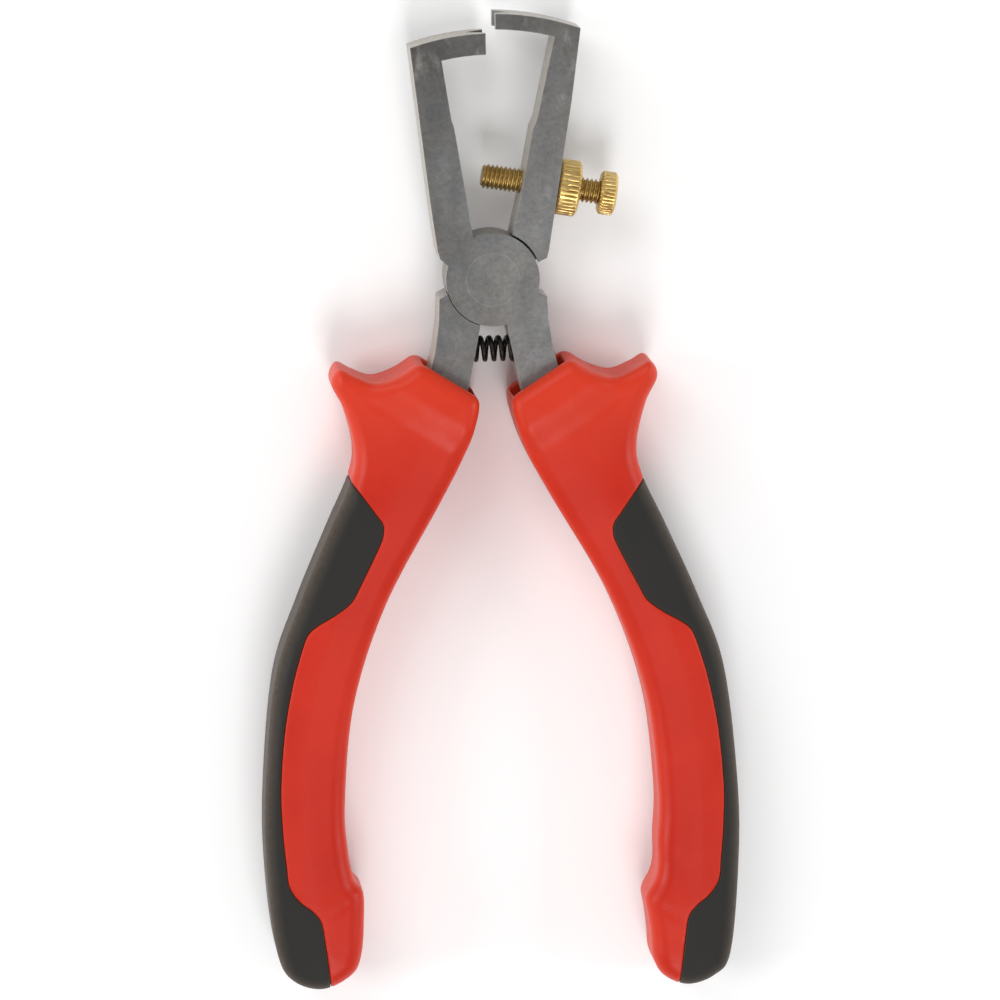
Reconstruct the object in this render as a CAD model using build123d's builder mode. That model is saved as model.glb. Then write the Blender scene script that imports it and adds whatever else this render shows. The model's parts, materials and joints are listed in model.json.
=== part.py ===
from build123d import *
import os

# A 160 mm wire stripper of the V-notch type, lying flat.
# Millimetres. +Z is the thickness, +Y points to the blades, +X to the right.
# The origin is on the surface it lies on, under the middle of its outline.
# Every outline is drawn on planes whose origin is the pivot.

# ---- driving dimensions ----
PIVOT_Y = 36.75  # pivot above the middle of the overall length
COLLAR_HALF = 8.5  # half thickness of a grip at its collar, which rests on the surface
HANDLE_HALF = 7.4  # half thickness of a grip below the collar
STEEL_HALF = 4.5  # half thickness of the steel levers
TANG_HALF = 3.0  # half thickness of a tang inside its grip

DISC_RADIUS = 7.5  # joint discs
SHANK_GAP = 0.12  # running gap between a disc and the other lever's shank
ARM_GAP = 0.35  # wider gap between a disc and the other lever's arm
LAP_GAP = 0.04  # half the gap between the two joint halves

RIVET_RADIUS = 3.0
RIVET_HEAD_RADIUS = 4.4
RIVET_HEAD_DEPTH = 1.2
RIVET_FIT = 0.05  # running clearance of the rivet in the rear lever

INNER_BLADE_TOP = 39.5  # the blades' surfaces are arcs about the pivot
INNER_BLADE_BOTTOM = 36.1
INNER_BLADE_TIP = -0.5  # where the blade ends, left and right of the pivot
OUTER_BLADE_TOP = 42.6
OUTER_BLADE_BOTTOM = 40.1
OUTER_BLADE_TIP = 1.1
NOTCH_DEPTH = 3.0  # V notch in a blade's tip
NOTCH_SLOPE = 0.93  # half width of the notch for each millimetre of depth
NOTCH_OVERRUN = 1.5  # how far the cutter passes the tip
NOTCH_FROM = 30.0  # the cutter starts below the blades and runs past them
NOTCH_LENGTH = 20.0

SPRING_Y = -11.6  # spring axis below the pivot
SPRING_OD = 4.3
SPRING_WIRE = 0.8
SPRING_LENGTH = 9.6
SPRING_TURNS = 6.5
POCKET_REACH = 5.0  # from the middle to the floor of a spring pocket
POCKET_RADIUS = 2.45

SCREW_ALONG_ARM = 0.407  # how far up the arm's outer face the screw stands, 0 to 1
SCREW_RADIUS = 2.0  # M4
SCREW_PITCH = 0.7
THREAD_DEPTH = 0.4
SCREW_BORE = 2.05  # bore radius in the arm and the nut, a running fit on the thread
SCREW_TIP = -12.1  # along the screw, from the arm's outer face
ARM_BORE_START = -9.0  # the bore in the arm, along the screw
ARM_BORE_LENGTH = 12.0
HEAD_START = 7.0
HEAD_LENGTH = 2.7
HEAD_RADIUS = 3.5
NUT_START = 0.1
NUT_LENGTH = 3.6
NUT_RADIUS = 4.5
KNURL_COUNT = 26
KNURL_WIDTH = 0.42
KNOB_CHAMFER = 0.5

EDGE_ROUND = 2.2  # rounding along a grip's edges
MOUTH_ROUND = 1.5  # rounding of the two corners of a grip's mouth
RELIEF_POINT = (9.5, -19.9)  # where the collar starts to slope down to the handle
RELIEF_LENGTH = 5.6
PROFILE_REACH = 130.0  # the thickness profile runs past the grip on all sides
INLAY_DEPTH = 1.8  # thickness of the rubber inlay

# ---- outlines, in pivot coordinates ----
# Front lever: the left arm, below the inner blade.
LEFT_ARM_INNER = [(-7.6, 35.3), (-6.2, 25.8), (-5.78, 24.5), (-3.0, 6.6), (-2.6, 4.0), (-6.0, 1.6)]
LEFT_ARM_OUTER = [(-6.0, 1.6), (-7.45, 2.7), (-8.4, 3.5), (-8.8, 4.9), (-9.85, 12.9), (-12.6, 37.4)]

# Rear lever: the right arm, below the outer blade. Its outer face is straight.
ARM_FACE_TOP = (13.12, 28.68)
ARM_FACE_BOTTOM = (9.06, 4.53)
RIGHT_ARM_OUTER = [(14.7, 40.0), ARM_FACE_TOP, ARM_FACE_BOTTOM, (8.7, 3.3), (7.6, 2.8), (6.0, 1.6)]
RIGHT_ARM_INNER = [(6.0, 1.6), (2.4, 3.6), (2.94, 5.8), (4.6, 12.7), (6.8, 23.95), (7.5, 25.5), (10.5, 38.7)]

# The shank and tang of the right-hand handle, mirrored for the left one.
SHANK = [(5.0, -2.0), (7.2, -2.1), (8.65, -2.9), (8.8, -6.6), (9.5, -11.5), (12.0, -20.5)]
SHANK += [(13.2, -24.5), (7.0, -24.5), (5.2, -20.5), (3.95, -16.3), (2.3, -8.1), (2.0, -6.0)]
TANG_OUTER = [(12.0, -20.5), (15.8, -30), (22.6, -42), (29.0, -55), (32.8, -68), (34.0, -82), (33.2, -95)]
TANG_INNER = [(29.0, -95), (29.2, -84), (28.0, -70), (24.4, -57), (17.4, -43), (9.6, -30), (5.2, -20.5)]

# A grip, as seen on the right: from the lip of its mouth down the inner side,
# round the heel, up the outer side and over the horn. The two heels differ.
COLLAR_LIP = (2.6, -18.9)
COLLAR_PEAK = (12.2, -12.8)
GRIP_INNER = [(3.0, -22), (5.0, -28), (9.2, -36), (18.1, -52), (23.6, -68), (25.4, -84), (25.1, -92)]
GRIP_OUTER = [(38.2, -97), (38.4, -84), (36.4, -64), (32.3, -52), (27.1, -40), (23.5, -32), (22.7, -27)]
GRIP_HORN = [(24.2, -20.5), (26.2, -16.2), (25.0, -13.7), (22.6, -14.8), (19.3, -16.0), (15.6, -15.0)]
RIGHT_HEEL = [(24.6, -98.0), (23.3, -101.0), (23.4, -104), (24.0, -110), (25.9, -114.4), (30.2, -116.1)]
RIGHT_HEEL += [(34.8, -114.2), (37.2, -109)]
LEFT_HEEL = [(24.2, -96.6), (23.0, -98.6), (22.7, -102), (23.2, -109), (24.8, -112.5), (29.6, -114.8)]
LEFT_HEEL += [(34.4, -113.3), (36.9, -108)]
MOUTH_POCKET = [(1.6, -12), (4.0, -23.0), (13.1, -23.0), (10.3, -8.5)]

# Where the rubber inlay meets the red body, and the core under the inlay,
# on the right. The left inlay sits higher.
LEFT_SEAM_RISE = 1.0
SEAM_TOP = [(26.0, -29.0), (23.7, -32.6), (19.6, -38.1)]
SEAM_CORNER = [(19.6, -38.1), (18.5, -40.2), (19.1, -43.0)]
SEAM_SIDE = [(19.1, -43.0), (22.9, -50.4)]
SEAM_STRIP = [(22.9, -50.4), (26.7, -54.4), (30.7, -56.8), (32.6, -61.5), (34.8, -71.2), (35.7, -82)]
SEAM_HEEL = [(35.7, -82), (35.2, -93), (34.8, -98.2), (31.2, -102.6), (29.3, -106), (28.6, -112), (28.5, -118)]
SEAM_OUTSIDE = [(28.5, -118), (48.0, -118), (48.0, -29.0), (26.0, -29.0)]
CORE_OUTER = [(21.5, -30), (25.4, -40.8), (30.5, -52.8), (34.6, -64.5), (36.6, -84), (36.3, -97), (34.8, -108)]
CORE_INSIDE = [(28.8, -112.9), (20, -120), (0, -60), (10, -20), (21.5, -30)]

RIGHT = 1
LEFT = -1

pivot = Plane(origin=(0, PIVOT_Y, COLLAR_HALF))
pivot_axis = Axis(pivot.origin, (0, 0, 1))
pivot_section = Plane(origin=pivot.origin, x_dir=(1, 0, 0), z_dir=(0, -1, 0))
rear_face = pivot.offset(-STEEL_HALF)
front_face = pivot.offset(STEEL_HALF)

# The screw stands square on the right arm's outer face.
arm_face_run = Vector(*ARM_FACE_TOP) - Vector(*ARM_FACE_BOTTOM)
screw_seat = Vector(*ARM_FACE_BOTTOM) + arm_face_run * SCREW_ALONG_ARM
screw_axis = Plane(
    origin=pivot.from_local_coords((screw_seat.X, screw_seat.Y, 0)),
    z_dir=(arm_face_run.Y, -arm_face_run.X, 0),
)


def on_side(points, side):
    """The points of a right-hand outline, or of its mirror image."""
    return [(side * x, y) for x, y in points]


def on_radius(x, radius):
    """The point above the pivot at this x and distance."""
    return (x, (radius * radius - x * x) ** 0.5)


def blade_arc(start_x, end_x, radius):
    """An arc about the pivot, for the line being built."""
    start, end = on_radius(start_x, radius), on_radius(end_x, radius)
    ThreePointArc(start, on_radius((start_x + end_x) / 2, radius), end)


def shank(side):
    """The shank's closed outline, for the sketch being built."""
    with BuildLine() as outline:
        Polyline(*on_side(SHANK, side), close=True)
    make_face(outline.edges())


def tang(side):
    """The tang's closed outline, for the sketch being built."""
    with BuildLine() as outline:
        Spline(*on_side(TANG_OUTER, side))
        Line(*on_side([TANG_OUTER[-1], TANG_INNER[0]], side))
        Spline(*on_side(TANG_INNER, side))
        Line(*on_side([TANG_INNER[-1], TANG_OUTER[0]], side))
    make_face(outline.edges())


def arm_clearance(align_x):
    """The upper left or right quarter of a disc and its arm gap, for the sketch being built."""
    radius = DISC_RADIUS + ARM_GAP
    Circle(radius)
    Rectangle(radius, radius, align=(align_x, Align.MIN), mode=Mode.INTERSECT)


def v_notch(tip, way):
    """Cuts a V into a blade's tip: way is the direction that the tip faces."""
    below_blades = Plane(origin=pivot.from_local_coords((0, NOTCH_FROM, 0)), x_dir=(1, 0, 0), z_dir=(0, 1, 0))
    root = (tip - way * NOTCH_DEPTH, 0)
    mouth = tip + way * NOTCH_OVERRUN
    half_width = NOTCH_SLOPE * (NOTCH_DEPTH + NOTCH_OVERRUN)
    with BuildSketch(below_blades) as notch:
        with BuildLine():
            Polyline(root, (mouth, half_width), (mouth, -half_width), close=True)
        make_face()
    extrude(notch.sketch, amount=NOTCH_LENGTH, mode=Mode.SUBTRACT)


def knurl_cuts(radius, length, plane):
    """Cuts V grooves along a knob's rim."""
    with BuildSketch(plane) as cuts:
        with PolarLocations(radius, KNURL_COUNT):
            Rectangle(KNURL_WIDTH, KNURL_WIDTH, rotation=45)
    extrude(cuts.sketch, amount=length, mode=Mode.SUBTRACT)


# ---- front lever: left arm with the inner blade, front joint disc, right shank and tang ----
with BuildPart() as front_lever:
    with BuildSketch(rear_face):
        with BuildLine():
            corner = on_radius(LEFT_ARM_OUTER[-1][0], INNER_BLADE_TOP)
            inner_corner = on_radius(LEFT_ARM_INNER[0][0], INNER_BLADE_BOTTOM)
            Polyline(inner_corner, *LEFT_ARM_INNER[1:])
            Polyline(*LEFT_ARM_OUTER[:-1], corner)
            blade_arc(corner[0], INNER_BLADE_TIP, INNER_BLADE_TOP)
            Line(on_radius(INNER_BLADE_TIP, INNER_BLADE_TOP), on_radius(INNER_BLADE_TIP, INNER_BLADE_BOTTOM))
            blade_arc(INNER_BLADE_TIP, inner_corner[0], INNER_BLADE_BOTTOM)
        make_face()
        shank(RIGHT)
    extrude(amount=2 * STEEL_HALF)
    with BuildSketch(pivot.offset(-TANG_HALF)):
        tang(RIGHT)
    extrude(amount=2 * TANG_HALF)
    # the rear half is cut clear of the rear lever's disc, the front half is the front disc
    with BuildSketch(rear_face):
        Circle(DISC_RADIUS + SHANK_GAP)
    extrude(amount=STEEL_HALF + LAP_GAP, mode=Mode.SUBTRACT)
    with BuildSketch(rear_face):
        arm_clearance(Align.MAX)
    extrude(amount=STEEL_HALF + LAP_GAP, mode=Mode.SUBTRACT)
    with BuildSketch(pivot.offset(LAP_GAP)):
        Circle(DISC_RADIUS)
    extrude(amount=STEEL_HALF - LAP_GAP)
    # rivet hole with its countersink in the front face
    with BuildSketch(pivot_section):
        with BuildLine():
            countersink_floor = STEEL_HALF - RIVET_HEAD_DEPTH
            Polyline((0, 0), (RIVET_RADIUS, 0), (RIVET_RADIUS, countersink_floor))
            Polyline((RIVET_RADIUS, countersink_floor), (RIVET_HEAD_RADIUS, STEEL_HALF), (0, STEEL_HALF), (0, 0))
        make_face()
    revolve(axis=pivot_axis, mode=Mode.SUBTRACT)
    # pocket for the spring in the shank's inner face
    with BuildSketch(Plane(origin=pivot.from_local_coords((0, SPRING_Y, 0)), z_dir=(1, 0, 0))):
        Circle(POCKET_RADIUS)
    extrude(amount=POCKET_REACH, mode=Mode.SUBTRACT)
    v_notch(INNER_BLADE_TIP, RIGHT)

# ---- rear lever: right arm with the outer blade, rear joint disc, left shank and tang ----
with BuildPart() as rear_lever:
    with BuildSketch(rear_face):
        with BuildLine():
            corner = on_radius(RIGHT_ARM_OUTER[0][0], OUTER_BLADE_TOP)
            inner_corner = on_radius(RIGHT_ARM_INNER[-1][0], OUTER_BLADE_BOTTOM)
            blade_arc(OUTER_BLADE_TIP, corner[0], OUTER_BLADE_TOP)
            Polyline(corner, *RIGHT_ARM_OUTER[1:])
            Polyline(*RIGHT_ARM_INNER[:-1], inner_corner)
            blade_arc(inner_corner[0], OUTER_BLADE_TIP, OUTER_BLADE_BOTTOM)
            Line(on_radius(OUTER_BLADE_TIP, OUTER_BLADE_BOTTOM), on_radius(OUTER_BLADE_TIP, OUTER_BLADE_TOP))
        make_face()
        shank(LEFT)
    extrude(amount=2 * STEEL_HALF)
    with BuildSketch(pivot.offset(-TANG_HALF)):
        tang(LEFT)
    extrude(amount=2 * TANG_HALF)
    # the front half is cut clear of the front disc, the rear half is the rear disc
    with BuildSketch(front_face):
        Circle(DISC_RADIUS + SHANK_GAP)
    extrude(amount=-STEEL_HALF - LAP_GAP, mode=Mode.SUBTRACT)
    with BuildSketch(front_face):
        arm_clearance(Align.MIN)
    extrude(amount=-STEEL_HALF - LAP_GAP, mode=Mode.SUBTRACT)
    with BuildSketch(rear_face):
        Circle(DISC_RADIUS)
    extrude(amount=STEEL_HALF - LAP_GAP)
    # rivet hole and countersink, with running clearance all round
    with BuildSketch(pivot_section):
        with BuildLine():
            hole_radius = RIVET_RADIUS + RIVET_FIT
            head_radius = RIVET_HEAD_RADIUS + RIVET_FIT
            countersink_top = RIVET_HEAD_DEPTH + RIVET_FIT - STEEL_HALF
            Polyline((0, 0), (hole_radius, 0), (hole_radius, countersink_top))
            Polyline((hole_radius, countersink_top), (head_radius, RIVET_FIT - STEEL_HALF))
            Polyline((head_radius, RIVET_FIT - STEEL_HALF), (head_radius, -STEEL_HALF), (0, -STEEL_HALF), (0, 0))
        make_face()
    revolve(axis=pivot_axis, mode=Mode.SUBTRACT)
    # pocket for the spring in the shank's inner face
    with BuildSketch(Plane(origin=pivot.from_local_coords((0, SPRING_Y, 0)), z_dir=(-1, 0, 0))):
        Circle(POCKET_RADIUS)
    extrude(amount=POCKET_REACH, mode=Mode.SUBTRACT)
    v_notch(OUTER_BLADE_TIP, LEFT)
    # bore for the adjusting screw, through the arm
    with BuildSketch(screw_axis.offset(ARM_BORE_START)):
        Circle(SCREW_BORE)
    extrude(amount=ARM_BORE_LENGTH, mode=Mode.SUBTRACT)

# ---- pivot rivet, flush with both faces ----
with BuildPart() as pivot_rivet:
    with BuildSketch(pivot_section):
        with BuildLine():
            Line((0, -STEEL_HALF), (RIVET_HEAD_RADIUS, -STEEL_HALF))
            Line((RIVET_HEAD_RADIUS, -STEEL_HALF), (RIVET_RADIUS, RIVET_HEAD_DEPTH - STEEL_HALF))
            Line((RIVET_RADIUS, RIVET_HEAD_DEPTH - STEEL_HALF), (RIVET_RADIUS, STEEL_HALF - RIVET_HEAD_DEPTH))
            Line((RIVET_RADIUS, STEEL_HALF - RIVET_HEAD_DEPTH), (RIVET_HEAD_RADIUS, STEEL_HALF))
            Polyline((RIVET_HEAD_RADIUS, STEEL_HALF), (0, STEEL_HALF), (0, -STEEL_HALF))
        make_face()
    revolve(axis=pivot_axis)

# ---- return spring, standing in the two pockets ----
with BuildPart() as return_spring:
    coil_length = SPRING_LENGTH - SPRING_WIRE
    with BuildLine():
        coil = Helix(
            pitch=coil_length / SPRING_TURNS,
            height=coil_length,
            radius=(SPRING_OD - SPRING_WIRE) / 2,
            center=pivot.from_local_coords((-coil_length / 2, SPRING_Y, 0)),
            direction=(1, 0, 0),
        )
    with BuildSketch(Plane(origin=coil @ 0, z_dir=coil % 0)):
        Circle(SPRING_WIRE / 2)
    sweep(path=coil, is_frenet=True)

# ---- adjusting screw: a ridged shank for its thread, and a knurled head ----
with BuildPart() as adjusting_screw:
    with BuildSketch(screw_axis.offset(SCREW_TIP)):
        Circle(SCREW_RADIUS - THREAD_DEPTH)
    extrude(amount=HEAD_START - SCREW_TIP)
    ridge_count = int((HEAD_START - SCREW_TIP) / SCREW_PITCH) - 1
    for ridge in range(ridge_count):
        with BuildSketch(screw_axis.offset(SCREW_TIP + (ridge + 0.5) * SCREW_PITCH)):
            Circle(SCREW_RADIUS)
        extrude(amount=SCREW_PITCH / 2)
    with BuildSketch(screw_axis.offset(HEAD_START)):
        Circle(HEAD_RADIUS)
    extrude(amount=HEAD_LENGTH)
    head_rims = adjusting_screw.edges().filter_by(GeomType.CIRCLE).sort_by(SortBy.RADIUS)[-2:]
    chamfer(head_rims, KNOB_CHAMFER)
    knurl_cuts(HEAD_RADIUS, HEAD_LENGTH, screw_axis.offset(HEAD_START))

# ---- knurled lock nut ----
with BuildPart() as lock_nut:
    with BuildSketch(screw_axis.offset(NUT_START)):
        Circle(NUT_RADIUS)
    extrude(amount=NUT_LENGTH)
    chamfer(lock_nut.edges().filter_by(GeomType.CIRCLE), KNOB_CHAMFER)
    with BuildSketch(screw_axis.offset(NUT_START)):
        Circle(SCREW_BORE)
    extrude(amount=NUT_LENGTH, mode=Mode.SUBTRACT)
    knurl_cuts(NUT_RADIUS, NUT_LENGTH, screw_axis.offset(NUT_START))

# ---- grips: a hard red body with a soft inlay on its outer side ----
mouth_run = (Vector(*COLLAR_LIP) - Vector(*COLLAR_PEAK)).normalized()
relief = Plane(
    origin=pivot.from_local_coords((*RELIEF_POINT, 0)),
    x_dir=(-mouth_run.Y, mouth_run.X, 0),
    z_dir=(mouth_run.X, mouth_run.Y, 0),
)


def grip_blank(heel):
    """A right-hand grip before it is parted: outline, thickness profile, rounded edges."""
    with BuildPart() as blank:
        with BuildSketch(pivot.offset(-COLLAR_HALF)):
            with BuildLine():
                Spline(COLLAR_LIP, *GRIP_INNER, *heel, *GRIP_OUTER, *GRIP_HORN, COLLAR_PEAK)
                Line(COLLAR_PEAK, COLLAR_LIP)
            make_face()
        extrude(amount=2 * COLLAR_HALF)
        fillet(blank.edges().filter_by(Axis.Z), MOUTH_ROUND)
        with BuildSketch(relief):
            with BuildLine():
                Line((-PROFILE_REACH, COLLAR_HALF), (0, COLLAR_HALF))
                Spline((0, COLLAR_HALF), (RELIEF_LENGTH, HANDLE_HALF), tangents=((1, 0), (1, 0)))
                Line((RELIEF_LENGTH, HANDLE_HALF), (PROFILE_REACH, HANDLE_HALF))
                Line((PROFILE_REACH, HANDLE_HALF), (PROFILE_REACH, 0))
                mirror(about=Plane.XZ)
                Line((-PROFILE_REACH, COLLAR_HALF), (-PROFILE_REACH, -COLLAR_HALF))
            make_face()
        extrude(amount=PROFILE_REACH, both=True, mode=Mode.INTERSECT)
        broad_faces = blank.faces().filter_by(lambda face: abs(face.normal_at().Z) > 0.7)
        rims = [edge for face in broad_faces for edge in face.edges()]
        fillet([edge for edge in rims if rims.count(edge) == 1], EDGE_ROUND)
    return blank.part


def grip_inlay(blank, seam_rise):
    """The rubber inlay of a right-hand grip: the skin of its outer side."""
    seam_plane = Plane(origin=pivot.from_local_coords((0, seam_rise, -COLLAR_HALF)))
    with BuildPart() as region:
        with BuildSketch(seam_plane):
            with BuildLine():
                Polyline(*SEAM_TOP)
                Spline(*SEAM_CORNER)
                Polyline(*SEAM_SIDE)
                Spline(*SEAM_STRIP, *SEAM_HEEL[1:])
                Polyline(*SEAM_OUTSIDE)
            make_face()
        extrude(amount=2 * COLLAR_HALF)
    with BuildPart() as core:
        with BuildSketch(pivot.offset(INLAY_DEPTH - HANDLE_HALF)):
            with BuildLine():
                Spline(*CORE_OUTER, CORE_INSIDE[0])
                Polyline(*CORE_INSIDE)
            make_face()
        extrude(amount=2 * (HANDLE_HALF - INLAY_DEPTH))
    with BuildPart() as inlay:
        add(blank)
        add(region.part, mode=Mode.INTERSECT)
        add(core.part, mode=Mode.SUBTRACT)
    return inlay.part


def grip_body(blank, inlay):
    """The red body of a right-hand grip, pocketed for the inlay, shank and tang."""
    with BuildPart() as body:
        add(blank)
        add(inlay, mode=Mode.SUBTRACT)
        with BuildSketch(rear_face):
            with BuildLine():
                Polyline(*MOUTH_POCKET, close=True)
            make_face()
            shank(RIGHT)
        extrude(amount=2 * STEEL_HALF, mode=Mode.SUBTRACT)
        with BuildSketch(pivot.offset(-TANG_HALF)):
            tang(RIGHT)
        extrude(amount=2 * TANG_HALF, mode=Mode.SUBTRACT)
    return body.part


right_blank = grip_blank(RIGHT_HEEL)
right_inlay = grip_inlay(right_blank, 0)
left_blank = grip_blank(LEFT_HEEL)
left_inlay = grip_inlay(left_blank, LEFT_SEAM_RISE)

# ---- files ----
pieces = {
    "front_lever": front_lever.part,
    "rear_lever": rear_lever.part,
    "pivot_rivet": pivot_rivet.part,
    "return_spring": return_spring.part,
    "adjusting_screw": adjusting_screw.part,
    "lock_nut": lock_nut.part,
    "right_grip": grip_body(right_blank, right_inlay),
    "right_grip_inlay": right_inlay,
    "left_grip": mirror(grip_body(left_blank, left_inlay), about=Plane.YZ),
    "left_grip_inlay": mirror(left_inlay, about=Plane.YZ),
}
os.makedirs("parts", exist_ok=True)
for name, piece in pieces.items():
    piece.label = name
    export_step(piece, f"parts/{name}.step")
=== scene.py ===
import json
import math

import bmesh
import bpy
import numpy as np
import openvdb
from mathutils import Matrix, Vector


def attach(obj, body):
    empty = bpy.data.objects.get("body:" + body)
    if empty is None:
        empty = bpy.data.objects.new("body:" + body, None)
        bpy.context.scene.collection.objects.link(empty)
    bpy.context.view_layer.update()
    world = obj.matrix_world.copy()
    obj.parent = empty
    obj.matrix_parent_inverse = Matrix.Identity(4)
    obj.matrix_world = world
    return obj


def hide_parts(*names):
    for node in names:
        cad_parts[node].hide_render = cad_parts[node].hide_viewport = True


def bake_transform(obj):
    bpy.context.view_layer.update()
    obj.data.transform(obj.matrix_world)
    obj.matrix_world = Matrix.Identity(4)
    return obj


# The looks of a 160 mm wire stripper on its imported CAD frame.
# Outlines are in millimetres from the lever pivot, as they are in the CAD;
# MM turns them into Blender's metres.

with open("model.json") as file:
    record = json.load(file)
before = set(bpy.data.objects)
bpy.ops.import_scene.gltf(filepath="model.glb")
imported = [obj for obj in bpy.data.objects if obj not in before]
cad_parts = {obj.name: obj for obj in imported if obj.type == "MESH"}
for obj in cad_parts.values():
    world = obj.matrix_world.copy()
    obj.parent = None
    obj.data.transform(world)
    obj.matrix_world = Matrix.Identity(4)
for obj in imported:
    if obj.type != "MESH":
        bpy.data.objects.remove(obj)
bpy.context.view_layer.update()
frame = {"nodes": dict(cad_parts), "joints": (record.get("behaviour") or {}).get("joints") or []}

MM = 0.001
JOINTS = {joint["name"]: joint for joint in frame["joints"]}
PIVOT = Vector(JOINTS["lever_pivot"]["pos_m"])

# half thicknesses of the levers and their tangs, and of the grips' collars and handles
STEEL_HALF = 4.5
TANG_HALF = 3.0
COLLAR_HALF = PIVOT.z / MM
HANDLE_HALF = 7.4

# ---- outlines, in pivot coordinates, of the right-hand side ----
COLLAR_LIP = (2.6, -18.9)
COLLAR_PEAK = (12.2, -12.8)
GRIP_INNER = [(3.0, -22), (5.0, -28), (9.2, -36), (18.1, -52), (23.6, -68), (25.4, -84), (25.1, -92)]
RIGHT_HEEL = [(25.1, -95.9), (24.6, -98.4), (23.4, -100.7), (23.1, -102.0), (23.5, -104.5), (23.9, -108)]
RIGHT_HEEL += [(24.2, -111.5), (25.9, -114.4), (29.8, -116.0), (34.2, -114.6), (36.8, -111)]
LEFT_HEEL = [(24.5, -95.8), (24.1, -97.2), (23.1, -98.3), (22.7, -99.6), (22.7, -103), (23.2, -109)]
LEFT_HEEL += [(24.8, -112.5), (29.6, -114.8), (34.4, -113.3), (36.8, -109)]
GRIP_OUTER = [(38.2, -98), (38.4, -84), (36.4, -64), (32.3, -52), (27.1, -40), (23.5, -32), (22.7, -27)]
GRIP_HORN = [(24.2, -20.5), (26.2, -16.2), (25.0, -13.7), (22.6, -14.8), (19.3, -16.0), (15.6, -15.0)]

SEAM = [(30.0, -26.0), (23.7, -32.6), (19.8, -37.8), (18.6, -39.6), (18.5, -41.0), (19.1, -43.0)]
SEAM += [(22.5, -49.8), (23.9, -52.2), (26.5, -54.2), (29.4, -55.9), (31.0, -57.4), (32.2, -60.6)]
SEAM += [(33.6, -65.6), (35.0, -73.0), (35.8, -82.0), (35.7, -89.0), (35.2, -95.0), (34.8, -98.3)]
SEAM += [(33.3, -100.7), (31.1, -102.5), (29.8, -104.3), (29.3, -107.2), (28.7, -112.0), (27.7, -121.0)]
SEAM_OUTSIDE = [(60.0, -121.0), (60.0, -26.0)]
LEFT_SEAM_RISE = 1.0

MOUTH_POCKET = [(1.6, -12), (4.0, -23.0), (13.1, -23.0), (10.3, -8.5)]
TANG = [(5.2, -20.5), (9.6, -30), (17.4, -43), (24.4, -57), (28.0, -70), (29.2, -84), (29.0, -95)]
TANG += [(33.2, -95), (34.0, -82), (32.8, -68), (29.0, -55), (22.6, -42), (15.8, -30), (12.0, -20.5)]
RELIEF_POINT = (9.5, -19.9)
RELIEF_LENGTH = 5.6


# ---- mesh helpers ----
def smooth_line(points, steps=10):
    """Points along a Catmull-Rom curve through the given ones."""
    ends = [2 * np.array(points[0]) - points[1], 2 * np.array(points[-1]) - points[-2]]
    knots = np.array([ends[0], *points, ends[1]], float)
    t = np.linspace(0, 1, steps, endpoint=False)[:, None]
    spans = []
    for a, b, c, d in zip(knots, knots[1:], knots[2:], knots[3:]):
        spans.append(b + 0.5 * t * (c - a + t * (2 * a - 5 * b + 4 * c - d + t * (3 * (b - c) + d - a))))
    return np.vstack([*spans, knots[-2]])


def rounded_corner(before, corner, after, size, steps=8):
    """Points of a quadratic curve that rounds a corner."""
    corner = np.array(corner, float)
    start = corner + size * (np.array(before) - corner) / np.linalg.norm(np.array(before) - corner)
    end = corner + size * (np.array(after) - corner) / np.linalg.norm(np.array(after) - corner)
    t = np.linspace(0, 1, steps)[:, None]
    return (1 - t) ** 2 * start + 2 * t * (1 - t) * corner + t**2 * end


def polygon_distance(grid_x, grid_y, outline):
    """Signed distance from grid points to a closed outline, negative inside."""
    starts = np.asarray(outline, float)
    ends = np.roll(starts, -1, axis=0)
    nearest = np.full(grid_x.shape, 1e9)
    inside = np.zeros(grid_x.shape, bool)
    for (ax, ay), (bx, by) in zip(starts, ends):
        run_x, run_y = bx - ax, by - ay
        length = run_x * run_x + run_y * run_y
        if length == 0:
            continue
        along = np.clip(((grid_x - ax) * run_x + (grid_y - ay) * run_y) / length, 0, 1)
        off_x, off_y = grid_x - ax - along * run_x, grid_y - ay - along * run_y
        nearest = np.minimum(nearest, off_x * off_x + off_y * off_y)
        if run_y:
            crosses = (ay > grid_y) != (by > grid_y)
            inside ^= crosses & (grid_x < ax + run_x * (grid_y - ay) / run_y)
    return np.where(inside, -1, 1) * np.sqrt(nearest)


def smoothstep(value):
    value = np.clip(value, 0, 1)
    return value * value * (3 - 2 * value)


def smooth_max(a, b, radius):
    """The larger of two distances, with the crease between them rounded."""
    blend = np.clip(0.5 + 0.5 * (a - b) / radius, 0, 1)
    return b + (a - b) * blend + radius * blend * (1 - blend)


def sample(field, low, voxel, points):
    """A field's value at points, by trilinear interpolation."""
    place = (points - low) / voxel
    cell = np.clip(np.floor(place).astype(int), 0, np.array(field.shape) - 2)
    part = np.clip(place - cell, 0, 1)
    total = np.zeros(len(points))
    for corner in np.ndindex(2, 2, 2):
        weight = np.prod(np.where(corner, part, 1 - part), axis=1)
        index = cell + corner
        total += weight * field[index[:, 0], index[:, 1], index[:, 2]]
    return total


def gradient(field, low, voxel, points):
    """A field's unit gradient at points."""
    slopes = []
    for axis in range(3):
        step = np.zeros(3)
        step[axis] = voxel
        ahead = sample(field, low, voxel, points + step)
        behind = sample(field, low, voxel, points - step)
        slopes.append(ahead - behind)
    slopes = np.array(slopes).T
    return slopes / np.maximum(np.linalg.norm(slopes, axis=1, keepdims=True), 1e-9)


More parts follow.
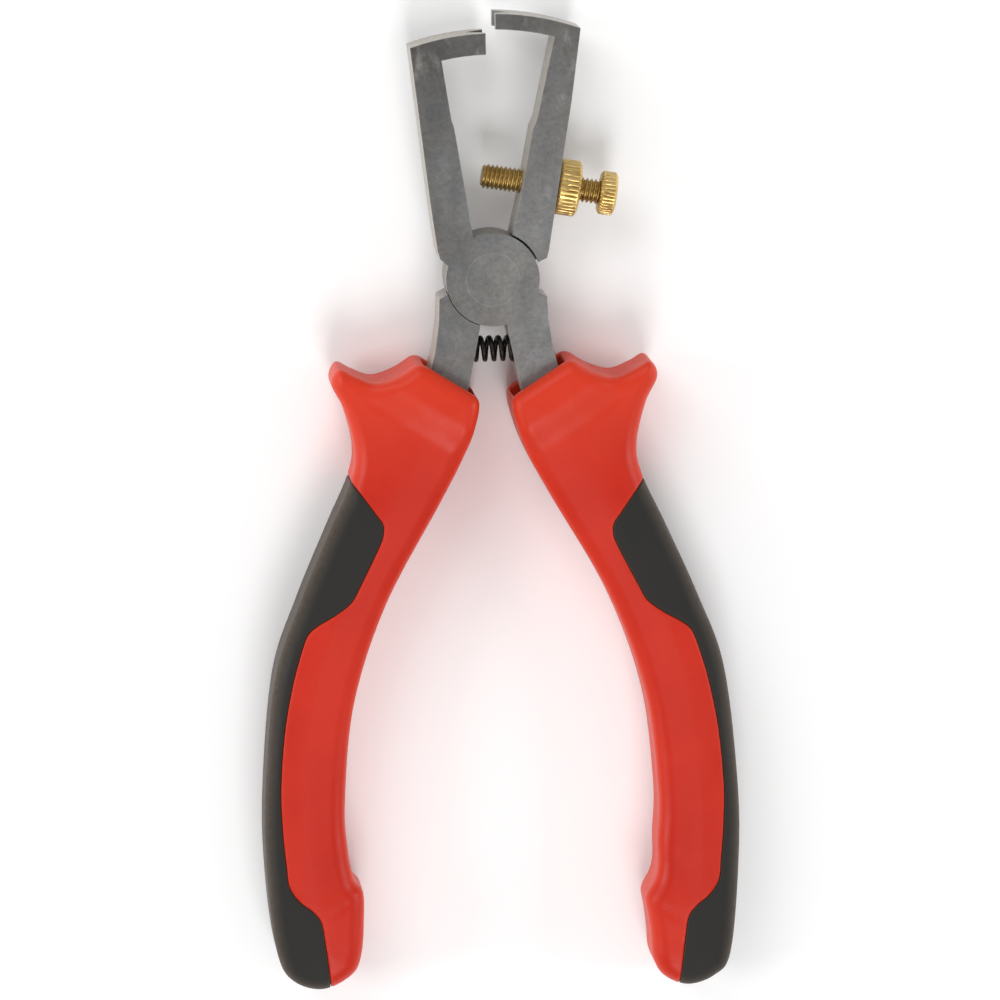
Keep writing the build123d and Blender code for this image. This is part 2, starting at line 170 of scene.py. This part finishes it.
def mesh_of(field, low, voxel):
    """Vertices and quads of a distance field's surface, in pivot millimetres."""
    grid = openvdb.FloatGrid(3.0)
    grid.copyFromArray(np.clip(field, -3, 3).astype(np.float32))
    points, quads = grid.convertToQuads(0.0)
    points = points.astype(float) * voxel + low
    value = sample(field, low, voxel, points)
    points -= gradient(field, low, voxel, points) * value[:, None]
    return points, quads[:, ::-1]


def new_object(name, vertices, faces, material):
    """An object in the scene, from vertices in metres in the frame."""
    mesh = bpy.data.meshes.new(name)
    mesh.from_pydata(vertices, [], faces)
    mesh.materials.append(material)
    piece = bpy.data.objects.new(name, mesh)
    bpy.context.scene.collection.objects.link(piece)
    return piece


# ---- materials ----
class Nodes:
    """A material's node tree, with short calls to add and join nodes."""

    def __init__(self, name):
        self.material = bpy.data.materials.new(name)
        self.material.use_nodes = True
        self.tree = self.material.node_tree
        self.shader = self.tree.nodes["Principled BSDF"]
        self.coordinates = self.add("ShaderNodeTexCoord").outputs["Object"]

    def add(self, kind, inputs=None, **settings):
        node = self.tree.nodes.new(kind)
        for key, value in settings.items():
            setattr(node, key, value)
        for key, value in (inputs or {}).items():
            self.plug(node.inputs[key], value)
        return node

    def plug(self, socket, value):
        if isinstance(value, bpy.types.NodeSocket):
            self.tree.links.new(value, socket)
        else:
            socket.default_value = value

    def noise(self, scale, detail=4.0, roughness=0.55, stretch=None):
        vector = self.coordinates
        if stretch:
            mapping = self.add("ShaderNodeMapping", {"Vector": vector, "Scale": stretch})
            vector = mapping.outputs["Vector"]
        values = {"Vector": vector, "Scale": scale, "Detail": detail, "Roughness": roughness}
        return self.add("ShaderNodeTexNoise", values).outputs["Fac"]

    def ramp(self, value, stops):
        node = self.add("ShaderNodeValToRGB", {"Fac": value})
        elements = node.color_ramp.elements
        while len(elements) < len(stops):
            elements.new(0.5)
        for element, (position, colour) in zip(elements, stops):
            element.position = position
            element.color = (*colour, 1)
        return node.outputs["Color"]

    def spread(self, value, low, high, from_low=0.3, from_high=0.7):
        """value mapped from one range to another."""
        inputs = {"Value": value, "To Min": low, "To Max": high}
        inputs |= {"From Min": from_low, "From Max": from_high}
        return self.add("ShaderNodeMapRange", inputs).outputs["Result"]

    def mix(self, factor, a, b, mode="MIX"):
        node = self.add("ShaderNodeMix", data_type="RGBA", blend_type=mode)
        self.plug(node.inputs[0], factor)
        self.plug(node.inputs[6], a)
        self.plug(node.inputs[7], b)
        return node.outputs[2]

    def flatness(self):
        """1 where the object's surface faces along its thickness, 0 on its sides."""
        normal = self.add("ShaderNodeTexCoord").outputs["Normal"]
        return self.maths("ABSOLUTE", self.add("ShaderNodeSeparateXYZ", {"Vector": normal}).outputs["Z"])

    def axis_distance(self, centre, axis):
        """How far a point is from a line through centre."""
        offset = self.vector("SUBTRACT", self.coordinates, tuple(centre)).outputs["Vector"]
        across = self.vector("CROSS_PRODUCT", offset, tuple(axis)).outputs["Vector"]
        return self.vector("LENGTH", across).outputs["Value"]

    def vector(self, operation, a, b=(0.0, 0.0, 0.0)):
        return self.add("ShaderNodeVectorMath", {0: a, 1: b}, operation=operation)

    def maths(self, operation, a, b=0.0):
        return self.add("ShaderNodeMath", {0: a, 1: b}, operation=operation).outputs[0]

    def bump(self, height, strength, distance, normal=None):
        node = self.add("ShaderNodeBump", {"Height": height, "Strength": strength, "Distance": distance})
        if normal:
            self.plug(node.inputs["Normal"], normal)
        return node.outputs["Normal"]

    def set(self, **values):
        for key, value in values.items():
            self.plug(self.shader.inputs[key.replace("_", " ").title().replace("Ior", "IOR")], value)
        return self.material


def edge_wear_and_glint(nodes, width, breakup):
    """1 along edges within a width in millimetres, broken up by a noise, 0 on flats; it marks where edges
    are painted lighter, partly for wearing and partly as a painted glint.
    """
    rounded = nodes.add("ShaderNodeBevel", {"Radius": width * MM}, samples=8).outputs["Normal"]
    true_normal = nodes.add("ShaderNodeNewGeometry").outputs["Normal"]
    agree = nodes.vector("DOT_PRODUCT", rounded, true_normal).outputs["Value"]
    edge = nodes.spread(agree, 1.0, 0.0, 0.90, 0.995)
    return nodes.maths("MULTIPLY", edge, nodes.spread(breakup, 0.35, 1.0))


# Where the steel's finish changes, in metres in the frame.
BLADE_FADE = (0.051, 0.081)  # darker from here to here, along Y
SCUFF_FADE = (0.045, 0.070)  # more scuffs from here to here, along Y
# painted shade: the steel is made darker towards the left
LEFT_FADE = (-0.009, 0.003)  # darker on the left, along X
DISC_FADE = (0.0080, 0.0094)  # the joint's rim, from the pivot
# painted sheen: the red grips made lighter towards their collars
COLLAR_FADE = (0.002, 0.018)  # where the red grips get lighter, along Y


def mottled_steel(nodes, tone, clouds, patches, grains):
    """Colour of the flat, bead-blasted faces, with painted shade towards the left."""
    place = nodes.add("ShaderNodeSeparateXYZ", {"Vector": nodes.coordinates})
    across, along = place.outputs["X"], place.outputs["Y"]
    shade = nodes.spread(along, 1.04, 0.66, *BLADE_FADE)
    # painted shade: darker towards the left
    shade = nodes.maths("MULTIPLY", shade, nodes.spread(across, 0.80, 1.10, *LEFT_FADE))
    shade = nodes.maths("MULTIPLY", shade, nodes.spread(clouds, 0.87, 1.12, 0.35, 0.65))
    scuffs = nodes.noise(150.0, 5.0, 0.68, stretch=(1.3, 0.7, 1.0))
    scuffs = nodes.spread(scuffs, 0.0, 0.75, 0.56, 0.70)
    scuffs = nodes.maths("MULTIPLY", scuffs, nodes.spread(along, 0.1, 1.0, *SCUFF_FADE))
    shade = nodes.maths("ADD", shade, scuffs)
    shade = nodes.maths("MULTIPLY", shade, nodes.spread(patches, 0.88, 1.10))
    shade = nodes.maths("MULTIPLY", shade, nodes.spread(grains, 0.82, 1.16))
    shades = {"Red": shade, "Green": shade, "Blue": shade}
    grey = nodes.add("ShaderNodeCombineColor", shades).outputs["Color"]
    cool = (tone * 0.99, tone, tone * 1.01)
    warm = (tone * 1.03, tone * 0.985, tone * 0.93)
    base = nodes.ramp(nodes.noise(110.0, 3.0), [(0.35, cool), (0.65, warm)])
    return nodes.mix(1.0, base, grey, "MULTIPLY")


def steel_material(name, tone, rim=None):
    """Bead-blasted tool steel: mottled and painted darker towards the left, with grinding-finished sides
    and bright, scuffed edges, both lighter partly as painted light.

    rim is the radius in millimetres at which a burnished ring runs round the pivot.
    """
    nodes = Nodes(name)
    clouds = nodes.noise(75.0, 6.0, 0.62)
    patches = nodes.noise(310.0, 4.0, 0.6)
    grains = nodes.noise(1500.0, 3.0, 0.75)
    colour = mottled_steel(nodes, tone, clouds, patches, grains)

    # grinding-finished sides and wearing along the edges, both fainter round the joint; their lighter
    # colour is partly painted light on the lit side walls and a painted glint along the edges
    from_pivot = nodes.axis_distance(PIVOT, (0, 0, 1))
    off_joint = nodes.spread(from_pivot, 0.0, 1.0, *DISC_FADE)
    wear_and_glint = nodes.maths("MULTIPLY", edge_wear_and_glint(nodes, 0.30, patches), off_joint)
    ground_and_lit = nodes.spread(nodes.flatness(), 1.0, 0.0, 0.25, 0.75)
    ground_and_lit = nodes.maths("MULTIPLY", ground_and_lit, nodes.spread(off_joint, 0.45, 1.0, 0.0, 1.0))
    grinding = nodes.noise(1200.0, 5.0, 0.62, stretch=(1.0, 0.06, 1.6))
    ground_and_lit_steel = nodes.ramp(grinding, [(0.32, (0.40, 0.375, 0.335)), (0.68, (0.57, 0.54, 0.485))])
    # partly painted light: the sides and edges take the lighter steel colour, as real wearing and as a
    # painted glint
    worn_and_lit = nodes.maths("MULTIPLY", wear_and_glint, 0.35)
    bright = nodes.maths("MAXIMUM", worn_and_lit, nodes.maths("MULTIPLY", ground_and_lit, 0.9))
    colour = nodes.mix(bright, colour, ground_and_lit_steel)

    if rim:
        off_rim = nodes.maths("ABSOLUTE", nodes.maths("SUBTRACT", from_pivot, rim * MM))
        ring = nodes.spread(off_rim, 0.20, 0.0, 0.0, 0.2 * MM)
        ring = nodes.maths("MULTIPLY", ring, nodes.spread(patches, 0.5, 1.0))
        colour = nodes.mix(ring, colour, (0.40, 0.39, 0.36, 1))

    scratches = nodes.noise(240.0, 3.0, 0.5, stretch=(9.0, 0.6, 1.0))
    roughness = nodes.maths("ADD", nodes.spread(clouds, 0.44, 0.56), nodes.spread(scratches, -0.05, 0.05))
    roughness = nodes.maths("SUBTRACT", roughness, nodes.maths("MULTIPLY", wear_and_glint, 0.14))
    normal = nodes.bump(grains, 0.40, 0.00008)
    normal = nodes.bump(patches, 0.25, 0.0002, normal)
    normal = nodes.bump(scratches, 0.10, 0.00005, normal)
    normal = nodes.bump(nodes.maths("MULTIPLY", grinding, ground_and_lit), 0.35, 0.00008, normal)
    return nodes.set(base_color=colour, metallic=0.65, roughness=roughness, normal=normal)


def red_material():
    """Moulded red grip: satin with a very fine grain, a little lighter at its collar as a painted sheen,
    and with painted light on its sides and edges.
    """
    nodes = Nodes("red_grip")
    clouds = nodes.noise(55.0, 4.0, 0.6)
    grains = nodes.noise(2600.0, 2.0, 0.6)
    marks = nodes.noise(420.0, 3.0, 0.55, stretch=(1.0, 0.25, 1.0))
    colour = nodes.ramp(clouds, [(0.30, (0.445, 0.0125, 0.0025)), (0.72, (0.525, 0.020, 0.0055))])
    along = nodes.add("ShaderNodeSeparateXYZ", {"Vector": nodes.coordinates}).outputs["Y"]
    # painted sheen: lighter towards the collar
    collar = nodes.spread(along, 0.0, 0.7, *COLLAR_FADE)
    colour = nodes.mix(collar, colour, (0.60, 0.036, 0.010, 1))
    # painted light: the red's side walls made lighter
    sides = nodes.spread(nodes.flatness(), 0.5, 0.0, 0.35, 0.92)
    colour = nodes.mix(sides, colour, (0.72, 0.052, 0.017, 1))
    # real wearing and a painted highlight: the red's edges made lighter
    worn_and_lit = nodes.maths("MULTIPLY", edge_wear_and_glint(nodes, 0.8, marks), 0.30)
    colour = nodes.mix(worn_and_lit, colour, (0.80, 0.15, 0.08, 1))
    roughness = nodes.maths("ADD", nodes.spread(clouds, 0.37, 0.46), nodes.spread(marks, -0.03, 0.05))
    normal = nodes.bump(grains, 0.42, 0.00005)
    normal = nodes.bump(marks, 0.08, 0.0001, normal)
    return nodes.set(base_color=colour, roughness=roughness, specular_ior_level=0.25, normal=normal)


def rubber_material():
    """Soft black overmould: matte, with dusty patches and a painted warm sheen that make its sides
    lighter and warmer.
    """
    nodes = Nodes("black_rubber")
    clouds = nodes.noise(70.0, 5.0, 0.65)
    grains = nodes.noise(2200.0, 3.0, 0.7)
    dust_and_sheen_noise = nodes.noise(900.0, 5.0, 0.7)
    colour = nodes.ramp(clouds, [(0.30, (0.0095, 0.0095, 0.0082)), (0.75, (0.0175, 0.0155, 0.0130))])
    # dusty patches and a painted sheen: the sides lighter and warmer
    dust_and_sheen = nodes.spread(nodes.flatness(), 0.85, 0.0, 0.50, 0.97)
    dust_and_sheen = nodes.maths("MULTIPLY", dust_and_sheen, nodes.spread(dust_and_sheen_noise, 0.45, 1.0))
    colour = nodes.mix(dust_and_sheen, colour, (0.080, 0.055, 0.037, 1))
    roughness = nodes.spread(clouds, 0.55, 0.72)
    normal = nodes.bump(grains, 0.45, 0.00006)
    nodes.set(specular_ior_level=0.26, sheen_weight=0.08)
    return nodes.set(base_color=colour, roughness=roughness, normal=normal)


def brass_material():
    """Turned brass, with painted shade in its recesses and a painted dark reflection on the thread."""
    nodes = Nodes("brass")
    clouds = nodes.noise(260.0, 5.0, 0.65)
    grains = nodes.noise(3000.0, 2.0, 0.6)
    colour = nodes.ramp(clouds, [(0.32, (0.53, 0.365, 0.125)), (0.72, (0.75, 0.555, 0.235))])
    pointiness = nodes.add("ShaderNodeNewGeometry").outputs["Pointiness"]
    # painted shade: the thread roots and knurl valleys darker
    shaded_hollows = nodes.spread(pointiness, 0.65, 0.0, 0.40, 0.49)
    colour = nodes.mix(shaded_hollows, colour, (0.18, 0.115, 0.04, 1))
    from_screw = nodes.axis_distance(JOINTS["nut_turn"]["pos_m"], JOINTS["nut_turn"]["axis"])
    # painted reflection: the thread, near the screw's axis, made darker
    painted_thread_reflection = nodes.spread(from_screw, 0.28, 0.0, 0.0021, 0.0024)
    colour = nodes.mix(painted_thread_reflection, colour, (0.16, 0.105, 0.035, 1))
    roughness = nodes.spread(clouds, 0.31, 0.46)
    normal = nodes.bump(grains, 0.25, 0.00004)
    normal = nodes.bump(clouds, 0.15, 0.00008, normal)
    return nodes.set(base_color=colour, metallic=1.0, roughness=roughness, normal=normal)


def spring_material():
    """Blackened spring wire with a trace of oil."""
    nodes = Nodes("spring_steel")
    clouds = nodes.noise(400.0, 4.0, 0.6)
    colour = nodes.ramp(clouds, [(0.30, (0.010, 0.009, 0.008)), (0.75, (0.035, 0.031, 0.027))])
    roughness = nodes.spread(clouds, 0.30, 0.48)
    normal = nodes.bump(clouds, 0.20, 0.00005)
    return nodes.set(base_color=colour, metallic=0.7, roughness=roughness, normal=normal)


STEEL = steel_material("lever_steel", 0.164)
RIVET_STEEL = steel_material("rivet_steel", 0.172, rim=4.28)
RED = red_material()
RUBBER = rubber_material()
BRASS = brass_material()
SPRING = spring_material()


# ---- levers and rivet: the CAD solids, with broken edges ----
def break_edges(node, material, width):
    """Material and a small bevel on a CAD node."""
    piece = frame["nodes"][node]
    piece.data.materials.clear()
    piece.data.materials.append(material)
    bevel = piece.modifiers.new("broken_edges", "BEVEL")
    bevel.width = width * MM
    bevel.segments = 3
    bevel.limit_method = "ANGLE"
    bevel.angle_limit = math.radians(32)
    bevel.harden_normals = True


for lever in ("front_lever", "rear_lever"):
    break_edges(lever, STEEL, 0.22)
break_edges("pivot_rivet", RIVET_STEEL, 0.08)


# ---- grips ----
VOXEL = 0.25
GRID_LOW = (-1.0, -119.0, -COLLAR_HALF - 2.5)
GRID_HIGH = (42.0, -8.0, COLLAR_HALF + 2.5)
LIP_ROUND = 1.1
PEAK_ROUND = 1.3
CORNER_POINTS = 6  # of the side's curve, left out at each end for the corners' rounding
EDGE_ROUND = 2.0  # at the collar
HANDLE_EXTRA_ROUND = 0.7  # added to it along the handle
INLAY_DEPTH = 1.8
INLAY_SINK = 0.02  # how far the rubber lies below the red around it
SEAM_GAP = 0.03
SEAM_ROUND = 0.22
POCKET_GAP = 0.05  # under the inlay
MOUTH_GAP = 0.15  # on each side of the steel, where it enters the collar
MOUTH_ROUND = 0.3
CROWN = 0.55  # how much lower a grip's faces are along their rim
CROWN_REACH = 7.5
CREASE_RUN = (0.74, -0.67)
CREASE_LENGTH = 7.6
CREASE_DEPTH = 0.14
CREASE_WIDTH = 0.55


def grip_piece(name, points, quads, material, mirror):
    """A grip's smooth piece, mirrored to the left-hand side if asked."""
    faces = [tuple(quad) for quad in quads.tolist()]
    if mirror:
        points = points * (-1, 1, 1)
        faces = [face[::-1] for face in faces]
    piece = new_object(name, (points * MM + np.array(PIVOT)).tolist(), faces, material)
    piece.data.shade_smooth()
    return piece


def grip_fields(heel, seam_rise):
    """Distance fields of a right-hand grip's red body and black inlay."""
    low = np.array(GRID_LOW)
    counts = np.ceil((GRID_HIGH - low) / VOXEL).astype(int)
    x, y, z = [low[axis] + VOXEL * np.arange(counts[axis]) for axis in range(3)]
    grid_x, grid_y = np.meshgrid(x, y, indexing="ij")

    side = smooth_line([COLLAR_LIP, *GRIP_INNER, *heel, *GRIP_OUTER, *GRIP_HORN, COLLAR_PEAK])
    side = side[CORNER_POINTS:-CORNER_POINTS]
    lip = rounded_corner(COLLAR_PEAK, COLLAR_LIP, side[0], LIP_ROUND)
    peak = rounded_corner(side[-1], COLLAR_PEAK, COLLAR_LIP, PEAK_ROUND)
    outline = np.vstack([lip, side, peak])
    rim = polygon_distance(grid_x, grid_y, outline)

    # half thickness: thick collar, a ramp, then the slimmer handle
    mouth_run = np.array(COLLAR_LIP) - COLLAR_PEAK
    mouth_run /= np.linalg.norm(mouth_run)
    past_relief = (grid_x - RELIEF_POINT[0]) * -mouth_run[1] + (grid_y - RELIEF_POINT[1]) * mouth_run[0]
    ramp = smoothstep(past_relief / RELIEF_LENGTH)
    half = COLLAR_HALF + (HANDLE_HALF - COLLAR_HALF) * ramp
    half = half - CROWN * (0.35 + 0.65 * ramp) * (1 - smoothstep(-rim / CROWN_REACH))
    edge_round = EDGE_ROUND + HANDLE_EXTRA_ROUND * ramp

    # a faint crease in the face, from the heel's step
    crease_x, crease_y = grid_x - heel[2][0], grid_y - heel[2][1]
    along = crease_x * CREASE_RUN[0] + crease_y * CREASE_RUN[1]
    beside = crease_y * CREASE_RUN[0] - crease_x * CREASE_RUN[1]
    fade = smoothstep(1 - np.abs(2 * along / CREASE_LENGTH - 1))
    half = half - CREASE_DEPTH * np.exp(-((beside / CREASE_WIDTH) ** 2)) * fade

    across = rim[..., None] + edge_round[..., None]
    through = np.abs(z)[None, None, :] - half[..., None] + edge_round[..., None]
    outside = np.hypot(np.maximum(across, 0), np.maximum(through, 0))
    body = outside + np.minimum(np.maximum(across, through), 0) - edge_round[..., None]

    seam_outline = np.vstack([smooth_line(SEAM), SEAM_OUTSIDE]) + (0, seam_rise)
    seam = polygon_distance(grid_x, grid_y, seam_outline)[..., None]
    inner = body + INLAY_DEPTH
    inlay = smooth_max(body + INLAY_SINK, seam + SEAM_GAP, SEAM_ROUND)
    inlay = np.maximum(inlay, -inner)
    pocket = np.maximum(seam - SEAM_GAP, -inner + POCKET_GAP)
    red = smooth_max(body, -pocket, SEAM_ROUND)

    mouth = polygon_distance(grid_x, grid_y, np.array(MOUTH_POCKET))[..., None]
    mouth = np.maximum(mouth, np.abs(z)[None, None, :] - STEEL_HALF - MOUTH_GAP)
    red = smooth_max(red, -mouth, MOUTH_ROUND)
    tang = polygon_distance(grid_x, grid_y, np.array(TANG))[..., None]
    tang = np.maximum(tang, np.abs(z)[None, None, :] - TANG_HALF)
    red = np.maximum(red, -tang)
    return low, red, inlay


HANDS = (
    ("left", "rear_lever_body", LEFT_HEEL, LEFT_SEAM_RISE),
    ("right", "front_lever_body", RIGHT_HEEL, 0.0),
)
for hand, body, heel, seam_rise in HANDS:
    grip_low, red_field, inlay_field = grip_fields(heel, seam_rise)
    grip_looks = (
        ("grip", red_field, RED, "red_grip"),
        ("grip_inlay", inlay_field, RUBBER, "black_rubber"),
    )
    for grip_name, field, grip_material, grip_slot in grip_looks:
        surface_points, surface_quads = mesh_of(field, grip_low, VOXEL)
        node = f"{hand}_{grip_name}"
        piece = grip_piece(f"{node}_look", surface_points, surface_quads, grip_material, hand == "left")
        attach(piece, body)
        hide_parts(node)


# ---- turned brass parts, about the screw's axis ----
SCREW_AXIS = Vector(JOINTS["nut_turn"]["axis"]).normalized()
SCREW_SEAT = (Vector(JOINTS["nut_turn"]["pos_m"]) - PIVOT) / MM
SCREW_SIDE = SCREW_AXIS.cross(Vector((0, 0, 1))).normalized()
SCREW_RADIUS = 2.0
SCREW_PITCH = 0.7
THREAD_DEPTH = 0.42
THREAD_CREST = 0.08  # half a crest's width, and a flank's, as parts of the pitch
THREAD_FLANK = 0.34
THREAD_STEP = 0.07  # between the rings of its mesh
TAPER_LENGTH = 0.55
TAPER_SLOPE = 0.8
SCREW_TIP = -12.1
HEAD_START = 7.0
HEAD_LENGTH = 2.7
HEAD_RADIUS = 3.5
NUT_START = 0.1
NUT_LENGTH = 3.6
NUT_RADIUS = 4.5
NUT_BORE = 2.05
KNOB_CHAMFER = 0.45
KNOB_FLAT = 0.4  # of a knob's length at each end, without the full knurl
KNURL_COUNT = 34
KNURL_DEPTH = 0.22
AROUND = 240


def about_screw(along, radius, angle):
    """Pivot coordinates of a point given along, out from and around the screw."""
    side = radius * math.cos(angle)
    up = radius * math.sin(angle)
    return SCREW_SEAT + SCREW_AXIS * along + SCREW_SIDE * side + Vector((0, 0, 1)) * up


def lathe(name, rings, closed):
    """A turned brass piece from rings, each a function from angle to (along, radius)."""
    angles = [2 * math.pi * step / AROUND for step in range(AROUND)]
    vertices = [about_screw(*ring(angle), angle) for ring in rings for angle in angles]
    faces = []
    last = len(rings) if closed else len(rings) - 1
    for row in range(last):
        here, there = row * AROUND, (row + 1) % len(rings) * AROUND
        for step in range(AROUND):
            ahead = (step + 1) % AROUND
            faces.append((here + step, here + ahead, there + ahead, there + step))
    if not closed:
        for row, order in ((0, -1), (len(rings) - 1, 1)):
            centre = len(vertices)
            vertices.append(about_screw(rings[row](0)[0], 0, 0))
            for step in range(AROUND):
                face = (row * AROUND + step, row * AROUND + (step + 1) % AROUND, centre)
                faces.append(face[::order])
    piece = new_object(name, [tuple(point * MM + PIVOT) for point in vertices], faces, BRASS)
    surface = bmesh.new()
    surface.from_mesh(piece.data)
    bmesh.ops.recalc_face_normals(surface, faces=surface.faces)
    surface.to_mesh(piece.data)
    surface.free()
    piece.data.shade_smooth()
    piece.data.set_sharp_from_angle(angle=math.radians(40))
    return piece


def plain_ring(along, radius):
    return lambda angle: (along, radius)


def knurled_ring(along, radius, depth, slant=0.0):
    """A ring with rounded teeth and narrow valleys between them."""

    def ring(angle):
        phase = (angle * KNURL_COUNT / (2 * math.pi) + slant * along) % 1
        valley = max(0.0, 1 - abs(phase - 0.5) / 0.22)
        return (along, radius - depth * valley**1.3)

    return ring


def thread_ring(along):
    """A ring of the helical thread, with flat crests and a tapered first turn."""

    def ring(angle):
        phase = (along / SCREW_PITCH - angle / (2 * math.pi)) % 1
        flank = min(1.0, max(0.0, (abs(phase - 0.5) - THREAD_CREST) / THREAD_FLANK))
        lead_in = max(0.0, SCREW_TIP + TAPER_LENGTH - along) * TAPER_SLOPE
        return (along, min(SCREW_RADIUS - THREAD_DEPTH * flank, SCREW_RADIUS - lead_in))

    return ring


def knob_rings(start, length, radius, bore, slant):
    """Outside of a knurled knob, from its inner face to its outer face."""
    end = start + length
    face_radius = radius - KNOB_CHAMFER - 0.35

    def chamfer_ring(face, inward, part):
        """A ring of a chamfer, from its face's edge at part 0 to the full knurl at part 1."""
        along = face + inward * (0.04 + KNOB_CHAMFER * part * 0.8)
        ring_radius = radius - KNOB_CHAMFER * (1 - part)
        return knurled_ring(along, ring_radius, KNURL_DEPTH * part, slant)

    rings = [plain_ring(start, bore), plain_ring(start, face_radius)]
    rings.append(plain_ring(start + 0.03, face_radius + 0.1))
    rings += [chamfer_ring(start, 1, step / 4) for step in range(5)]
    for step in range(1, 8):
        along = start + KNOB_FLAT + (length - 2 * KNOB_FLAT) * step / 8
        rings.append(knurled_ring(along, radius, KNURL_DEPTH, slant))
    rings += [chamfer_ring(end, -1, 1 - step / 4) for step in range(5)]
    rings.append(plain_ring(end - 0.03, face_radius + 0.1))
    rings.append(plain_ring(end, face_radius))
    return rings


thread_rings = [plain_ring(SCREW_TIP, SCREW_RADIUS - 0.75)]
along = SCREW_TIP + 0.02
while along < HEAD_START - 0.05:
    thread_rings.append(thread_ring(along))
    along += THREAD_STEP
head_rings = knob_rings(HEAD_START, HEAD_LENGTH, HEAD_RADIUS, SCREW_RADIUS - THREAD_DEPTH, 0.05)
screw = lathe("adjusting_screw_look", thread_rings + head_rings, closed=False)
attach(screw, "screw_body")
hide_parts("adjusting_screw")

nut_rings = knob_rings(NUT_START, NUT_LENGTH, NUT_RADIUS, NUT_BORE, 0.06)
nut_rings.append(plain_ring(NUT_START + NUT_LENGTH, NUT_BORE + 0.25))
nut_rings.append(plain_ring(NUT_START + NUT_LENGTH - 0.25, NUT_BORE))
nut = lathe("lock_nut_look", nut_rings, closed=True)
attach(nut, "nut_body")
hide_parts("lock_nut")


# ---- return spring ----
SPRING_Y = -11.6
SPRING_LENGTH = 9.6
SPRING_WIRE = 0.8
SPRING_RADIUS = 1.75
SPRING_STEPS = 260
WIRE_SIDES = 14


def spring_centre(part):
    """Place of the wire's middle: closed end coils, open ones between."""
    turns = 6.6
    angle = 2 * math.pi * turns * part
    closed = 0.11
    reach = SPRING_LENGTH - SPRING_WIRE
    end_rise = 0.075
    if part < closed:
        rise = end_rise * part / closed
    elif part > 1 - closed:
        rise = 1 - end_rise * (1 - part) / closed
    else:
        rise = end_rise + (1 - 2 * end_rise) * (part - closed) / (1 - 2 * closed)
    x = -reach / 2 + reach * rise
    return Vector((x, SPRING_Y + SPRING_RADIUS * math.cos(angle), SPRING_RADIUS * math.sin(angle)))


spring_vertices = []
spring_faces = []
for step in range(SPRING_STEPS + 1):
    here = spring_centre(step / SPRING_STEPS)
    before = spring_centre(max(0, (step - 0.5) / SPRING_STEPS))
    after = spring_centre(min(1, (step + 0.5) / SPRING_STEPS))
    outward = Vector((0, here.y - SPRING_Y, here.z)).normalized()
    beside = (after - before).normalized().cross(outward).normalized()
    for side in range(WIRE_SIDES):
        angle = 2 * math.pi * side / WIRE_SIDES
        offset = outward * math.cos(angle) + beside * math.sin(angle)
        spring_vertices.append(here + offset * SPRING_WIRE / 2)
    if step:
        for side in range(WIRE_SIDES):
            beyond = (side + 1) % WIRE_SIDES
            low, high = (step - 1) * WIRE_SIDES, step * WIRE_SIDES
            spring_faces.append((low + side, low + beyond, high + beyond, high + side))
spring_faces.append(tuple(range(WIRE_SIDES))[::-1])
spring_faces.append(tuple(range(SPRING_STEPS * WIRE_SIDES, (SPRING_STEPS + 1) * WIRE_SIDES)))
spring_vertices = [tuple(point * MM + PIVOT) for point in spring_vertices]
spring = new_object("return_spring_look", spring_vertices, spring_faces, SPRING)
spring.data.shade_smooth()
spring.data.set_sharp_from_angle(angle=math.radians(50))
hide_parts("return_spring")
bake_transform(spring)


# ---- floor, light and camera ----
def floor_material():
    nodes = Nodes("floor")
    clouds = nodes.noise(6.0, 3.0)
    colour = nodes.ramp(clouds, [(0.3, (0.93, 0.93, 0.93)), (0.7, (0.96, 0.96, 0.96))])
    return nodes.set(base_color=colour, roughness=0.9)


floor_corners = [(-4, -4, 0), (4, -4, 0), (4, 4, 0), (-4, 4, 0)]
new_object("floor", floor_corners, [(0, 1, 2, 3)], floor_material())

CAMERA_DISTANCE = 1.2
VIEW_WIDTH = 0.1606  # what the frame spans where the camera aims
AIM = Vector((0.5, 1.15, 13.0)) * MM
LEAN_LEFT = math.radians(4.5)
LEAN_UP = math.radians(8.5)
ROLL = math.radians(1.0)

toward = Vector((-math.tan(LEAN_LEFT), math.tan(LEAN_UP), 1)).normalized()
level_right = Vector((0, 1, 0)).cross(toward).normalized()
level_up = toward.cross(level_right).normalized()
right = level_right * math.cos(ROLL) - level_up * math.sin(ROLL)
up = level_right * math.sin(ROLL) + level_up * math.cos(ROLL)

camera_data = bpy.data.cameras.new("camera")
camera_data.sensor_width = 36
camera_data.lens = 36 * CAMERA_DISTANCE / VIEW_WIDTH
camera = bpy.data.objects.new("camera", camera_data)
bpy.context.scene.collection.objects.link(camera)
rotation = Matrix((right, up, toward)).transposed().to_4x4()
camera.matrix_world = Matrix.Translation(AIM + toward * CAMERA_DISTANCE) @ rotation
bpy.context.scene.camera = camera


def area_light(name, place, size, power):
    """A square lamp that faces the frame's origin."""
    data = bpy.data.lights.new(name, "AREA")
    data.energy = power
    data.size = size
    lamp = bpy.data.objects.new(name, data)
    bpy.context.scene.collection.objects.link(lamp)
    lamp.location = place
    lamp.rotation_euler = Vector(place).to_track_quat("Z", "Y").to_euler()


area_light("key", (-0.40, 0.65, 0.70), 0.6, 3.3)
area_light("front", (0.05, -0.62, 0.95), 0.45, 4.6)
area_light("right", (0.85, 0.05, 0.42), 0.5, 3.2)
area_light("left", (-0.85, 0.0, 0.42), 0.4, 3.4)

world = bpy.data.worlds.new("studio")
world.use_nodes = True
world.node_tree.nodes["Background"].inputs["Color"].default_value = (1.0, 1.0, 1.0, 1.0)
world.node_tree.nodes["Background"].inputs["Strength"].default_value = 0.46
bpy.context.scene.world = world
bpy.context.scene.view_settings.view_transform = "Standard"
